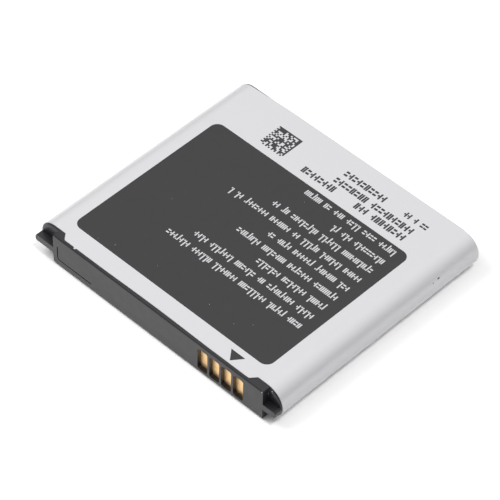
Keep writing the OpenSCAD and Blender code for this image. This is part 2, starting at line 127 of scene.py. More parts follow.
class Shader:
    """The node tree of one material or of the world."""

    def __init__(self, tree: bpy.types.NodeTree) -> None:
        """Empties the tree.

        Args:
            tree: the node tree to build in.
        """
        self.tree = tree
        tree.nodes.clear()

    def node(self, kind: str, settings: dict[str, Any] | None = None,
             inputs: dict[int | str, Any] | None = None, output: int | str = 0) -> Signal:
        """Adds a node.

        Args:
            kind: the node's type.
            settings: its properties, set first. "stops" gives a ramp's places and colours.
            inputs: the values or the links of its sockets.
            output: the output that is wanted.

        Returns:
            That output.
        """
        made = self.tree.nodes.new(kind)
        for name, value in (settings or {}).items():
            if name == "stops":
                ramp = made.color_ramp
                while len(ramp.elements) < len(value):
                    ramp.elements.new(1.0)
                for element, (place, color) in zip(ramp.elements, value):
                    element.position = place
                    element.color = color
            else:
                setattr(made, name, value)
        for name, value in (inputs or {}).items():
            if isinstance(value, Signal):
                self.tree.links.new(value.socket, made.inputs[name])
            else:
                made.inputs[name].default_value = value
        return Signal(self, made.outputs[output]) if len(made.outputs) else Signal(self, None)

    def place(self) -> Signal:
        """The point on the piece in millimetres, from its Object coordinates."""
        here = self.node("ShaderNodeTexCoord", output="Object")
        return self.node("ShaderNodeVectorMath", {"operation": "SCALE"}, {0: here, "Scale": 1 / MM})

    def stretched(self, place: Signal, stretch: tuple[float, float, float]) -> Signal:
        """The place with each axis drawn out.

        Args:
            place: the point.
            stretch: how many times longer a pattern becomes along each axis.

        Returns:
            The point for the pattern to read.
        """
        shrink = tuple(1 / s for s in stretch)
        return self.node("ShaderNodeVectorMath", {"operation": "MULTIPLY"}, {0: place, 1: shrink})

    def noise(self, place: Signal, size: float, detail: float = 2.0) -> Signal:
        """Soft noise about zero, mostly between -1 and 1.

        Args:
            place: the point that it reads.
            size: the size of its blots in millimetres.
            detail: how many finer layers are added.

        Returns:
            The noise.
        """
        raw = self.node("ShaderNodeTexNoise", {"noise_dimensions": "3D"},
                        {"Vector": place, "Scale": 1 / size, "Detail": detail, "Roughness": 0.5})
        return (raw - 0.5) * 3.2

    def scaled(self, color: Rgb | Signal, share: Signal) -> Signal:
        """A colour made lighter or darker.

        Args:
            color: the colour.
            share: what it is multiplied by.

        Returns:
            The colour.
        """
        value = color if isinstance(color, Signal) else tuple(color)
        return self.node("ShaderNodeVectorMath", {"operation": "SCALE"}, {0: value, "Scale": share})

    def mixed(self, factor: Signal, first: Rgb | Signal, second: Rgb | Signal) -> Signal:
        """A colour between two others.

        Args:
            factor: zero for the first, one for the second.
            first: the first colour.
            second: the second colour.

        Returns:
            The colour.
        """
        def opaque(color: Rgb | Signal) -> Any:
            """The colour as a Mix socket takes it."""
            return color if isinstance(color, Signal) else (*color, 1.0)
        return self.node("ShaderNodeMix", {"data_type": "RGBA", "clamp_factor": True},
                         {0: factor, 6: opaque(first), 7: opaque(second)}, output=2)

    def bump(self, height: Signal, distance: float) -> Signal:
        """A normal bent by a relief.

        Args:
            height: the relief, about -1 to 1.
            distance: the height of a relief of 1, in millimetres.

        Returns:
            The normal.
        """
        return self.node("ShaderNodeBump", {}, {"Height": height, "Distance": distance * MM, "Strength": 1.0})


@dataclass(frozen=True)
class Finish:
    """One material of the pack, with a colour, gloss and relief that wander a little.

    Attributes:
        name: the material's name.
        color: its base colour.
        roughness: its roughness.
        metallic: how metallic it is.
        ior: its index of refraction.
        coat: the weight of a clear coat.
        mottle: the share by which its colour wanders over its blots.
        blot: the size of the blots.
        grain: the share by which its colour wanders over its grain.
        grain_size: the size of the grain.
        relief: the height of the grain.
        spread: how far its roughness wanders.
    """

    name: str
    color: Rgb
    roughness: float = 0.5
    metallic: float = 0.0
    ior: float = 1.5
    coat: float = 0.0
    mottle: float = 0.03
    blot: float = 4.0
    grain: float = 0.03
    grain_size: float = 0.15
    relief: float = 0.002
    spread: float = 0.05

    def base(self, shader: Shader, place: Signal) -> Signal:
        """The base colour over the surface.

        Args:
            shader: the tree that is built.
            place: the point on the piece in millimetres.

        Returns:
            The colour.
        """
        shade = 1 + self.mottle * shader.noise(place, self.blot) + self.grain * self.pattern(shader, place)
        return shader.scaled(self.color, shade)

    def pattern(self, shader: Shader, place: Signal) -> Signal:
        """The grain, which shows in the colour and in the relief."""
        return shader.noise(place, self.grain_size)

    def gloss(self, shader: Shader, place: Signal) -> Signal:
        """The roughness over the surface."""
        return self.roughness + self.spread * shader.noise(place, self.blot / 2)

    def material(self) -> bpy.types.Material:
        """Makes the material, or gives it again once it is made.

        Returns:
            The material.
        """
        known = bpy.data.materials.get(self.name)
        if known:
            return known
        made = bpy.data.materials.new(self.name)
        made.use_nodes = True
        shader = Shader(made.node_tree)
        place = shader.place()
        surface = shader.node("ShaderNodeBsdfPrincipled", {}, {
            "Base Color": self.base(shader, place),
            "Roughness": self.gloss(shader, place),
            "Normal": shader.bump(self.pattern(shader, place), self.relief),
            "Metallic": self.metallic,
            "IOR": self.ior,
            "Coat Weight": self.coat,
        })
        shader.node("ShaderNodeOutputMaterial", {}, {"Surface": surface})
        return made


@dataclass(frozen=True)
class BrushedFinish(Finish):
    """A rolled or brushed metal, whose grain runs along one axis.

    Attributes:
        run: how many times longer the grain is along each axis.
    """

    run: tuple[float, float, float] = (12.0, 1.0, 1.0)

    def pattern(self, shader: Shader, place: Signal) -> Signal:
        """Noise drawn out along the brushing."""
        return shader.noise(shader.stretched(place, self.run), self.grain_size, detail=3)


@dataclass(frozen=True)
class PlateFinish(BrushedFinish):
    """The gold of a contact plate, darker where springs have rubbed it.

    Attributes:
        rubbed: the colour of the rubbed streaks.
    """

    rubbed: Rgb = (0.62, 0.40, 0.16)

    def base(self, shader: Shader, place: Signal) -> Signal:
        """The gold, with short upright streaks of the rubbed colour."""
        gold = super().base(shader, place)
        streaks = shader.noise(shader.stretched(place, (1.0, 1.0, 9.0)), 0.22, detail=3)
        rubbed = (streaks - 0.55).at_least(0.0).at_most(1.0) * 0.2
        return shader.mixed(rubbed, gold, self.rubbed)


@dataclass(frozen=True)
class MaskFinish(Finish):
    """A circuit board's solder mask, lighter over its copper.

    Attributes:
        traced: the colour where copper lies under the mask.
        trace_pitch: the distance between the traces.
    """

    traced: Rgb = (0.07, 0.32, 0.16)
    trace_pitch: float = 1.4

    def base(self, shader: Shader, place: Signal) -> Signal:
        """The mask, with bands where the wandering traces run."""
        bands = shader.node("ShaderNodeTexWave", {"wave_type": "BANDS", "bands_direction": "Z"},
                            {"Vector": place, "Scale": 1 / self.trace_pitch, "Distortion": 3.0,
                             "Detail": 1.0, "Detail Scale": 0.3}, output=1)
        return shader.mixed((bands > 0.72) * 1.0, super().base(shader, place), self.traced)


FILM = Finish("label_film", (0.706, 0.705, 0.725), roughness=0.33, metallic=0.08, mottle=0.006, blot=5.0,
              grain=0.012, grain_size=0.22, relief=0.0012, spread=0.03)
FILM_PRINT = Finish("panel_print", (0.70, 0.70, 0.72), roughness=0.45, mottle=0.05, blot=0.6, grain=0.03)
INK = Finish("black_ink", (0.0215, 0.0212, 0.0230), roughness=0.46, mottle=0.035, blot=3.0, grain=0.06,
             grain_size=0.18, relief=0.0012, spread=0.03)
DOT_INK = Finish("dot_ink", (0.030, 0.030, 0.032), roughness=0.5, mottle=0.2, blot=0.5, grain=0.08)
CAP = Finish("moulded_black", (0.0150, 0.0145, 0.0175), roughness=0.35, ior=1.45, mottle=0.05, blot=2.5, grain=0.10,
             grain_size=0.13, relief=0.004, spread=0.05)
PLATE = Finish("far_plate_black", (0.028, 0.028, 0.030), roughness=0.5, mottle=0.05, grain=0.08, relief=0.003)
GOLD = PlateFinish("contact_gold", (1.0, 0.70, 0.37), roughness=0.5, metallic=1.0, mottle=0.02, blot=0.8,
                   grain=0.02, grain_size=0.06, relief=0.0003, spread=0.03, run=(1.0, 1.0, 14.0))
CAN = BrushedFinish("drawn_can", (0.78, 0.78, 0.79), roughness=0.34, metallic=1.0, mottle=0.02, grain=0.04,
                    grain_size=0.08, run=(1.0, 20.0, 1.0))
NICKEL = BrushedFinish("nickel_strip", (0.74, 0.73, 0.70), roughness=0.3, metallic=1.0, mottle=0.03,
                       grain=0.05, grain_size=0.06)
GASKET = Finish("gasket_plastic", (0.86, 0.86, 0.84), roughness=0.45, mottle=0.02, blot=0.8)
SHEET = Finish("fish_paper", (0.87, 0.85, 0.78), roughness=0.8, mottle=0.03, blot=1.2, grain=0.06, relief=0.004)
TAPE = Finish("adhesive_tape", (0.84, 0.82, 0.72), roughness=0.7, mottle=0.03, blot=2.0, grain=0.04)
BOARD = MaskFinish("solder_mask", (0.05, 0.22, 0.12), roughness=0.3, coat=0.4, mottle=0.05, blot=1.0)
CHIP = Finish("chip_epoxy", (0.025, 0.025, 0.027), roughness=0.55, mottle=0.06, blot=0.5, grain=0.12)
RESISTOR = Finish("resistor_glaze", (0.03, 0.03, 0.035), roughness=0.25, mottle=0.08, blot=0.3)
CAPACITOR = Finish("capacitor_ceramic", (0.55, 0.42, 0.30), roughness=0.5, mottle=0.06, blot=0.3)
# Pale dust colour. The flecks on the cap use it too, where they are part dust and part painted glint.
DUST_AND_GLINT = Finish("dust", (0.75, 0.75, 0.76), roughness=0.8, mottle=0.1, blot=0.1, grain=0.1, grain_size=0.05)

NODE_FINISHES: dict[str, Finish] = {
    "cell": CAN, "terminal_gasket": GASKET, "terminal_rivet": NICKEL, "fill_plug": CAN,
    "header_sheet": SHEET, "plus_lead": NICKEL, "thermal_cutoff": CHIP, "rivet_arm": NICKEL,
    "outlet_arm": NICKEL, "minus_lead": NICKEL, "board": BOARD, "plus_land": NICKEL,
    "minus_land": NICKEL, "protection_chip": CHIP, "power_switch": CHIP,
    "chip_resistors": RESISTOR, "chip_capacitors": CAPACITOR, "contact_1": GOLD,
    "contact_2": GOLD, "contact_3": GOLD, "contact_4": GOLD, "end_cap": CAP, "cap_tape": TAPE,
    "far_tape": TAPE, "far_plate": PLATE, "label_film": FILM, "printed_panel": INK,
    "arrow_mark": INK,
}


def signed_volume(points: np.ndarray, quads: np.ndarray) -> float:
    """Six times the volume that the quads enclose: the sum of p0 . (p1 x p2) over their triangles.

    Args:
        points: the corners, one row each.
        quads: four indices a face.

    Returns:
        The sum, negative where the faces look inwards.
    """
    total = 0.0
    for order in ((0, 1, 2), (0, 2, 3)):
        a, b, c = (points[quads[:, k]] for k in order)
        total += float(np.einsum("ij,ij->i", a, np.cross(b, c)).sum())
    return total


def make_piece(name: str, points: np.ndarray, faces: list[list[int]], finish: Finish,
               sharp_angle: float = 35.0) -> bpy.types.Object:
    """Puts points and faces into a new object that rides on the pack.

    Args:
        name: the piece's name.
        points: its corners in millimetres, one row each.
        faces: the indices of each face's corners.
        finish: its material.
        sharp_angle: edges that turn more than this many degrees stay crisp.

    Returns:
        The object.
    """
    mesh = bpy.data.meshes.new(name)
    mesh.from_pydata((points * MM).tolist(), [], faces)
    mesh.polygons.foreach_set("use_smooth", np.ones(len(mesh.polygons), bool))
    mesh.set_sharp_from_angle(angle=math.radians(sharp_angle))
    mesh.materials.append(finish.material())
    mesh.update()
    piece = bpy.data.objects.new(name, mesh)
    bpy.context.scene.collection.objects.link(piece)
    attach(piece, BODY)
    LOG.info("%s: %d points, %d faces", name, len(points), len(faces))
    return piece


def rounded_rectangles(boxes: np.ndarray, radius: float, steps: int = 2) -> np.ndarray:
    """Outlines of rectangles whose corners are quarter circles, counter-clockwise from above.

    Each corner's arc is centred a radius in from both sides, and a side shorter than two radii
    makes the radius half of it.

    Args:
        boxes: for each rectangle its lowest and its highest corner, shape (n, 2, 2).
        radius: the corners' radius.
        steps: pieces in each quarter circle.

    Returns:
        The outlines, shape (n, 4 * (steps + 1), 2).
    """
    turns = np.arange(4)[:, None] * math.pi / 2 + np.linspace(0, math.pi / 2, steps + 1)[None, :]
    arc = np.stack([np.cos(turns), np.sin(turns)], axis=-1).reshape(-1, 2)
    signs = np.repeat(np.array([[1, 1], [-1, 1], [-1, -1], [1, -1]], float), steps + 1, axis=0)
    middle = boxes.mean(axis=1)[:, None]
    half = ((boxes[:, 1] - boxes[:, 0]) / 2)[:, None]
    r = np.minimum(radius, half.min(axis=2, keepdims=True) * 0.999)
    return middle + signs * (half - r) + arc * r


def prisms(outlines: np.ndarray, low: float, high: float) -> tuple[np.ndarray, list[list[int]]]:
    """Thin closed prisms that stand on their outlines.

    Args:
        outlines: the outlines, counter-clockwise, shape (n, k, 2).
        low: the height of their undersides.
        high: the height of their tops.

    Returns:
        The points and the faces.
    """
    n, k, _ = outlines.shape
    rings = np.empty((n, 2, k, 3))
    rings[..., :2] = outlines[:, None]
    rings[:, 0, :, 2] = low
    rings[:, 1, :, 2] = high
    start = np.arange(n)[:, None] * 2 * k
    here = np.arange(k)[None, :]
    onward = (here + 1) % k
    sides = np.stack([start + here, start + onward, start + k + onward, start + k + here], axis=-1)
    tops = start + k + here
    undersides = (start + here)[:, ::-1]
    return rings.reshape(-1, 3), sides.reshape(-1, 4).tolist() + tops.tolist() + undersides.tolist()


@dataclass
class Pack:
    """The wrapped pack's own sizes, read from the frame."""

    width: float = 0.0
    length: float = 0.0
    thick: float = 0.0
    front: float = 0.0
    left: float = 0.0
    middle: float = 0.0

    def __post_init__(self) -> None:
        """Measures the film, the cap and the far plate."""
        low, high = (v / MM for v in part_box("label_film"))
        self.width = round(high.x - low.x, 3)
        self.thick = round(high.z - low.z, 3)
        self.left = -self.width / 2
        self.middle = self.thick / 2
        self.front = round(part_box("end_cap")[0].y / MM, 3)
        self.length = round(high.y - self.front, 3)

    @property
    def flat(self) -> float:
        """Half the width of the flat faces, between the round sides."""
        return (self.width - self.thick) / 2

    @property
    def right(self) -> float:
        """The right side's place."""
        return self.left + self.width


@dataclass
class LabelWrap:
    """The label film, wrapped round the pack with its edges meeting on the left side.

    Attributes:
        pack: the pack that it is wrapped round.
        film: the film's thickness.
        sunk: how far the film's face lies under the ink's.
        front_edge: depth of the front edge over the flat faces.
        edge_bow: how much deeper the printed face's edge lies at its middle.
        bow_reach: how far from the middle it is deeper.
        side_edge: depth of the front edge round the sides.
        step_left: from the left side to the left step.
        step_right: from the right side to the right step.
        step_run: the steps' run.
        step_round: the rounding of the steps' outer and inner corners.
        nick_left: from the left side to the nick.
        nick: the nick's size.
        back: width of film left off the far left and the far right corner.
        far_run: run of the slanted far left edge, and of the right one.
        seam: the gap where the film's edges meet.
        swell: how far the round sides wander inwards.
        tuck: how much deeper the film lies low on the right side, away from its ends.
    """

    pack: Pack
    film: float = 0.1
    sunk: float = 0.006
    front_edge: float = 0.51
    edge_bow: float = 0.13
    bow_reach: float = 14.0
    side_edge: float = 1.6
    step_left: float = 5.45
    step_right: float = 5.2
    step_run: float = 0.9
    step_round: tuple[float, float] = (0.4, 0.15)
    nick_left: float = 8.75
    nick: float = 0.26
    back: tuple[float, float] = (0.32, 0.12)
    far_run: tuple[float, float] = (8.0, 0.25)
    seam: float = 0.15
    swell: float = 0.03
    tuck: float = 0.055
    arc_steps: int = 28
    flat_step: float = 0.5
    along_steps: int = 72

    def rounded_step(self, a: tuple[float, float], p: tuple[float, float], b: tuple[float, float],
                     radius: float) -> np.ndarray:
        """The arc that rounds the corner p between a and b.

        It touches both legs at radius / tan(half the corner's angle) from the corner, and its
        points are spread over it by a quadratic curve through the two touches.

        Args:
            a: the point before the corner.
            p: the corner.
            b: the point after it.
            radius: the arc's radius.

        Returns:
            The arc's points.
        """
        corner = np.array(p)
        u, v = (np.array(q) - corner for q in (a, b))
        u, v = u / np.linalg.norm(u), v / np.linalg.norm(v)
        reach = radius / math.tan(math.acos(float(np.clip(u @ v, -1, 1))) / 2)
        t = np.linspace(0, 1, 7)[:, None]
        return corner + (1 - t) ** 2 * u * reach + t ** 2 * v * reach

    def front_curve(self) -> np.ndarray:
        """The front edge's depth over the flat faces, as points sorted from left to right."""
        left = self.pack.left + self.step_left
        right = self.pack.right - self.step_right
        corners = [(-self.pack.flat, self.side_edge), (left, self.side_edge),
                   (left + self.step_run, self.front_edge), (right - self.step_run, self.front_edge),
                   (right, self.side_edge), (self.pack.flat, self.side_edge)]
        outer, inner = self.step_round
        radii = [inner, outer, outer, inner]
        arcs = [self.rounded_step(*corners[k:k + 3], radii[k]) for k in range(4)]
        return np.vstack([corners[:1], *arcs, corners[-1:]])

    def nick_depth(self, x: np.ndarray) -> np.ndarray:
        """How far the nick's scrap reaches past the front edge: a low trapezium about its middle."""
        off = np.abs(x - self.pack.left - self.nick_left)
        return self.nick * np.clip(2 - 2 * off / self.nick, 0, 1)

    def far_edge(self) -> tuple[np.ndarray, np.ndarray]:
        """The far edge's corners over the flat faces: their X and their depth."""
        places = [-self.pack.flat, -self.pack.flat + self.far_run[0], self.pack.flat - self.far_run[1],
                  self.pack.flat]
        cut = [self.back[0], 0.0, 0.0, self.back[1]]
        return np.array(places), self.pack.length - np.array(cut)

    def bow_depth(self, x: np.ndarray) -> np.ndarray:
        """How much deeper the edge lies: a squared cosine of the place, zero at the bow's reach."""
        return self.edge_bow * np.cos(np.clip(x / self.bow_reach, -1, 1) * math.pi / 2) ** 2

    def flat_places(self) -> np.ndarray:
        """The X of each column over a flat face, with one at every corner of the edges."""
        even = np.arange(-self.pack.flat, self.pack.flat, self.flat_step)
        nick = self.pack.left + self.nick_left + self.nick * np.array([-1, -0.5, 0.5, 1])
        ends = self.far_edge()[0]
        return np.unique(np.round(np.concatenate([even, self.front_curve()[:, 0], nick, ends]), 4))

    def columns(self) -> tuple[np.ndarray, np.ndarray, np.ndarray]:
        """The way round the section, from the seam over the top to the seam again.

        The section is a flat spine with a half circle at each end: a column stands on a point of
        the spine and looks out along an angle.

        Returns:
            The spine's X, the angle of the outward direction, and 1 on the top face.
        """
        flat = self.flat_places()
        gap = math.asin(self.seam / self.pack.thick)
        quarter = np.linspace(math.pi - gap, math.pi / 2, self.arc_steps)[:-1]
        half = np.linspace(math.pi / 2, -math.pi / 2, 2 * self.arc_steps)[1:-1]
        spine = np.concatenate([np.full(len(quarter), -self.pack.flat), flat,
                                np.full(len(half), self.pack.flat), flat[::-1],
                                np.full(len(quarter), -self.pack.flat)])
        angle = np.concatenate([quarter, np.full(len(flat), math.pi / 2), half,
                                np.full(len(flat), -math.pi / 2), -quarter[::-1]])
        on_top = np.concatenate([np.zeros(len(quarter)), np.ones(len(flat)),
                                 np.zeros(len(half) + len(flat) + len(quarter))])
        return spine, angle, on_top

    def build(self) -> bpy.types.Object:
        """Makes the film as one closed shell.

        Each column has its own front and far depth, and the rows between are even. The outer face
        stands at the pack's radius less the sunk depth, a slow ripple on the round sides, which is the
        sum of two sines of the depth and the angle, and the tuck low on the right side. The inner
        face lies a film's thickness in.

        Returns:
            The film.
        """
        spine, angle, on_top = self.columns()
        curve = self.front_curve()
        flat_face = np.abs(np.abs(angle) - math.pi / 2) < 1e-9
        front = np.where(flat_face, np.interp(spine, curve[:, 0], curve[:, 1]), self.side_edge)
        front = front + on_top * (self.bow_depth(spine) - self.nick_depth(spine))
        far = np.interp(spine, *self.far_edge())
        row = np.linspace(0, 1, self.along_steps + 1)
        depth = front[:, None] + (far - front)[:, None] * row[None, :]
        side = np.cos(angle)[:, None] ** 2
        ripple = 0.5 + 0.25 * np.sin(0.55 * depth + 2.1 * angle[:, None])
        ripple = ripple + 0.25 * np.sin(0.93 * depth - 1.3 * angle[:, None] + 1.0)
        share = np.clip(0.5 - 1.5 * np.sin(angle), 0, 1)
        low = np.where(spine > 0, share ** 2 * (3 - 2 * share) * np.cos(angle), 0.0)[:, None]
        ends = np.clip(np.minimum(depth - self.side_edge, self.pack.length - depth - 1.0) / 6, 0, 1)
        outer = self.pack.middle - self.sunk - self.swell * side * ripple - self.tuck * low * ends
        inner = outer - (self.film - self.sunk)
        out_x, out_z = np.cos(angle)[:, None], np.sin(angle)[:, None]
        faces = [np.stack([spine[:, None] + r * out_x, self.pack.front + depth,
                           self.pack.middle + r * out_z], axis=-1) for r in (outer, inner)]
        rings = np.concatenate([faces[0], faces[1][:, ::-1]], axis=1)
        points, quads = closed_strip(rings)
        piece = make_piece("label_wrap", points, quads, FILM)
        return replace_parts(piece, "label_film")


def closed_strip(rings: np.ndarray) -> tuple[np.ndarray, list[list[int]]]:
    """Joins rings of points into a shell and closes its two ends with strips of quads.

    Args:
        rings: the rings, shape (n, 2 * m, 3), each going out along one face and back along the other.

    Returns:
        The points and the faces, looking outwards.
    """
    n, k, _ = rings.shape
    here, onward = np.arange(k), (np.arange(k) + 1) % k
    start = (np.arange(n - 1) * k)[:, None]
    walls = np.stack([start + here, start + onward, start + k + onward, start + k + here], axis=-1)
    m = k // 2
    row = np.arange(m - 1)
    end = np.stack([row, k - 1 - row, k - 2 - row, row + 1], axis=-1)
    quads = np.concatenate([walls.reshape(-1, 4), end, end[:, ::-1] + (n - 1) * k])
    points = rings.reshape(-1, 3)
    if signed_volume(points, quads) < 0:
        quads = quads[:, ::-1]
    return points, quads.tolist()


class Tick(Enum):
    """The plain marks that stand where a label has letters, as boxes in one letter's place.

    A box is (left, low, right, high) in letter heights, and a row of them is no writing.
    """

    BAR = ((0.04, 0.0, 0.24, 1.0), (0.36, 0.38, 0.54, 0.62))
    TALL = ((0.04, 0.0, 0.24, 1.43), (0.36, 0.0, 0.54, 0.24))
    PAIR = ((0.0, 0.0, 0.2, 1.0), (0.34, 0.0, 0.54, 1.0))
    DEEP = ((0.04, -0.38, 0.24, 1.0), (0.36, 0.76, 0.54, 1.0))
    DASHES = ((0.02, 0.1, 0.54, 0.34), (0.02, 0.66, 0.54, 0.9))


@dataclass
class MarkRows:
    """Rows of plain ticks that run from the right side to the left, heads towards the contacts.

    Attributes:
        name: the piece's name.
        pack: the pack that they are printed on.
        finish: their material.
        slot: not used.
        stretches: for each row its baseline's depth, and where it starts and ends in X.
        height: the height of a low mark.
        width: how wide the marks are for their height.
        advance: from one mark to the next, in heights.
        words: the fewest and the most marks in a group.
        shares: how common each kind of mark is.
        bold: how much each box grows on each side.
        low: the height of the ink's underside.
        high: the height of its face.
        seed: the start of the random draws.
    """

    name: str
    pack: Pack
    finish: Finish
    slot: str
    stretches: list[tuple[float, float, float]]
    height: float = 1.0
    width: float = 1.0
    advance: float = 0.68
    words: tuple[int, int] = (2, 9)
    shares: tuple[float, ...] = (0.34, 0.22, 0.24, 0.08, 0.12)
    bold: float = 0.015
    low: float = 0.004
    high: float = 0.004
    seed: int = 7

    def row(self, start: float, end: float, draw: np.random.Generator) -> np.ndarray:
        """The boxes of one row, along it and up from its baseline.

        Args:
            start: the X at which it starts.
            end: the X at which it ends.
            draw: the source of random choices.

        Returns:
            The boxes, shape (n, 2, 2).
        """
        step = self.advance * self.height * self.width
        count = max(1, int((start - end) / step))
        kinds = draw.choice(len(Tick), size=count, p=self.shares)
        groups = np.cumsum(draw.integers(*self.words, size=count) + 1)
        kept = ~np.isin(np.arange(count), groups)
        kept[-1] = True
        places = np.arange(count) * step
        found = []
        for number, tick in enumerate(Tick):
            cells = places[kept & (kinds == number)]
            boxes = np.array(tick.value).reshape(-1, 2, 2) * self.height
            boxes[..., 0] *= self.width
            shift = np.stack([cells, np.zeros_like(cells)], axis=-1)
            found.append((boxes[None] + shift[:, None, None]).reshape(-1, 2, 2))
        return np.concatenate(found)

    def build(self) -> bpy.types.Object:
        """Makes the rows as thin prisms of ink.

        Returns:
            The piece.
        """
        draw = np.random.default_rng(self.seed)
        boxes = []
        for baseline, start, end in self.stretches:
            row = self.row(start, end, draw)
            turned = np.stack([start - row[..., 0], self.pack.front + baseline - row[..., 1]], axis=-1)
            boxes.append(turned[:, ::-1])
        grown = np.sort(np.concatenate(boxes), axis=1) + np.array([-self.bold, self.bold])[:, None]
        outlines = rounded_rectangles(grown, 0.05 * self.height)
        points, faces = prisms(outlines, self.pack.thick - self.low, self.pack.thick + self.high)
        return make_piece(self.name, points, faces, self.finish)


@dataclass
class SquareMark:
    """A square of dark cells where the label has its machine mark. The cells carry no data.

    Attributes:
        pack: the pack that it is printed on.
        left: its left side's place.
        near: depth of its near side.
        side: its size.
        cells: cells along a side.
        seed: the start of the random draws.
    """

    pack: Pack
    left: float = -13.45
    near: float = 37.35
    side: float = 5.0
    cells: int = 16
    seed: int = 320

    def build(self) -> bpy.types.Object:
        """Makes a prism of ink for each dark cell, a little more than half of them.

        Returns:
            The piece.
        """
        draw = np.random.default_rng(self.seed)
        dark = draw.random((self.cells, self.cells)) < 0.6
        dark[-1] = True
        dark[:, -1] = True
        dark[0] = np.arange(self.cells) % 2 == 0
        dark[:, 0] = np.arange(self.cells) % 2 == 1
        rows, columns = np.nonzero(dark)
        cell = self.side / self.cells
        low = np.stack([self.left + columns * cell, self.pack.front + self.near + rows * cell], axis=-1)
        boxes = np.stack([low, low + cell], axis=1)
        points, faces = prisms(rounded_rectangles(boxes, 0.01, 1), self.pack.thick - 0.01, self.pack.thick + 0.001)
        return make_piece("square_mark", points, faces, DOT_INK)


@dataclass
class Flecks:
    """Small lumps, each at its place in the photo: flakes of dust, pinholes, and pale flecks that are part dust and
    part painted glint.

    Attributes:
        name: the piece's name.
        finish: their material.
        slot: not used.
        rows: for each fleck its place, the way that its surface faces and its radius.
        height: their height for their radius.
        corners: corners of a fleck.
        seed: the start of the random draws.
    """

    name: str
    finish: Finish
    slot: str
    rows: list[tuple[float, ...]]
    height: float = 0.4
    corners: int = 7
    seed: int = 19

    def build(self) -> bpy.types.Object:
        """Makes each fleck a low lump: an uneven ring on the surface and a smaller one over it.

        The rings are spanned by two directions across the surface's own, and the lower ring is a
        little sunk.

        Returns:
            The piece.
        """
        draw = np.random.default_rng(self.seed)
        rows = np.array(self.rows)
        place, way, radius = rows[:, :3], rows[:, 3:6], rows[:, 6]
        way = way / np.linalg.norm(way, axis=1, keepdims=True)
        least = np.eye(3)[np.argmin(np.abs(way), axis=1)]
        first = np.cross(way, least)
        first = first / np.linalg.norm(first, axis=1, keepdims=True)
        second = np.cross(way, first)
        turn = np.arange(self.corners) / self.corners * 2 * math.pi
        reach = radius[:, None] * draw.uniform(0.65, 1.2, (len(rows), self.corners))
        across = (first[:, None] * (reach * np.cos(turn))[..., None]
                  + second[:, None] * (reach * np.sin(turn))[..., None])
        rise = (way * radius[:, None] * self.height)[:, None]
        low = place[:, None] + across - 0.3 * rise
        high = place[:, None] + 0.6 * across + rise
        points = np.stack([low, high], axis=1)
        _, faces = prisms(points[:, 0, :, :2], 0.0, 1.0)
        return make_piece(self.name, points.reshape(-1, 3), faces, self.finish)


@dataclass
class WearAndGlints:
    """The dust and the pinholes that the photo shows, and pale flecks on the cap that are part dust and part
    painted glint.
    """

    pack: Pack

    def build(self) -> None:
        """Makes the flecks on the panel, by the right tab and on the right side."""
        dust = [(-13.45, 5.3, 0.06), (-16.25, 4.5, 0.045), (-5.65, 6.8, 0.05), (5.55, 6.8, 0.06),
                (10.95, 6.6, 0.06), (13.15, 8.5, 0.05), (-14.25, 18.5, 0.05), (0.95, 32.7, 0.045)]
        flat = [(x, self.pack.front + depth, self.pack.thick, 0, 0, 1, r) for x, depth, r in dust]
        Flecks("panel_dust", DUST_AND_GLINT, "label", flat).build()
        # Pale flecks on the cap's edges and in its recess, at its small bright spots: part dust, part painted
        # glints.
        dust_and_glints = [(23.19, -22.98, 6.1, 0, -0.8, 0.6, 0.11), (23.4, -21.77, 5.02, 1, 0, 0, 0.06),
                  (24.12, -21.68, 5.66, 0.1, -1, 0.2, 0.07), (24.03, -21.64, 5.89, 0.1, -1, 0.3, 0.09)]
        Flecks("cap_dust_and_glints", DUST_AND_GLINT, "cap_plastic", dust_and_glints, height=0.7, seed=23).build()
        pits = [(25.70, 13.60, 4.71, 0.88, 0, 0.47, 0.16), (25.69, 13.80, 4.73, 0.88, 0, 0.47, 0.16),
                (25.76, 12.43, 4.59, 0.9, 0, 0.44, 0.12)]
        Flecks("side_specks", DOT_INK, "ink", pits, height=0.2, seed=29).build()


@dataclass
class Print:
    """All that is printed on the film, apart from the panel and the arrow that are solids."""

    pack: Pack
    panel_start: float = 18.45
    panel_ends: tuple[float, ...] = (-10.75, -7.25, 3.75, -2.85, 1.35, -9.85, -3.25, 7.15, -0.75)
    panel_first: float = 13.78
    panel_pitch: float = 2.66
    strip_start: float = 17.25

    def build(self) -> None:
        """Makes the pale rows on the panel, the dark rows beyond it and the square mark."""
        stretches = [(self.panel_first + k * self.panel_pitch, self.panel_start, end)
                     for k, end in enumerate(self.panel_ends)]
        MarkRows("panel_rows", self.pack, FILM_PRINT, "label", stretches).build()
        strip = [(38.6, self.strip_start, 6.65), (38.6, 2.45, -4.85), (40.5, self.strip_start, -0.05),
                 (42.65, 9.65, 0.85)]
        MarkRows("strip_rows", self.pack, DOT_INK, "ink", strip, height=1.3, width=0.86, advance=0.78,
                 words=(5, 12), shares=(0.42, 0.0, 0.3, 0.0, 0.28), bold=0.05, low=0.01, high=0.001,
                 seed=3).build()
        MarkRows("small_row", self.pack, DOT_INK, "ink", [(42.6, 18.45, 13.35)], height=1.1, width=0.9,
                 advance=0.7, words=(1, 3), shares=(0.5, 0.0, 0.1, 0.0, 0.4), bold=0.045, low=0.01,
                 high=0.001, seed=5).build()
        SquareMark(self.pack).build()


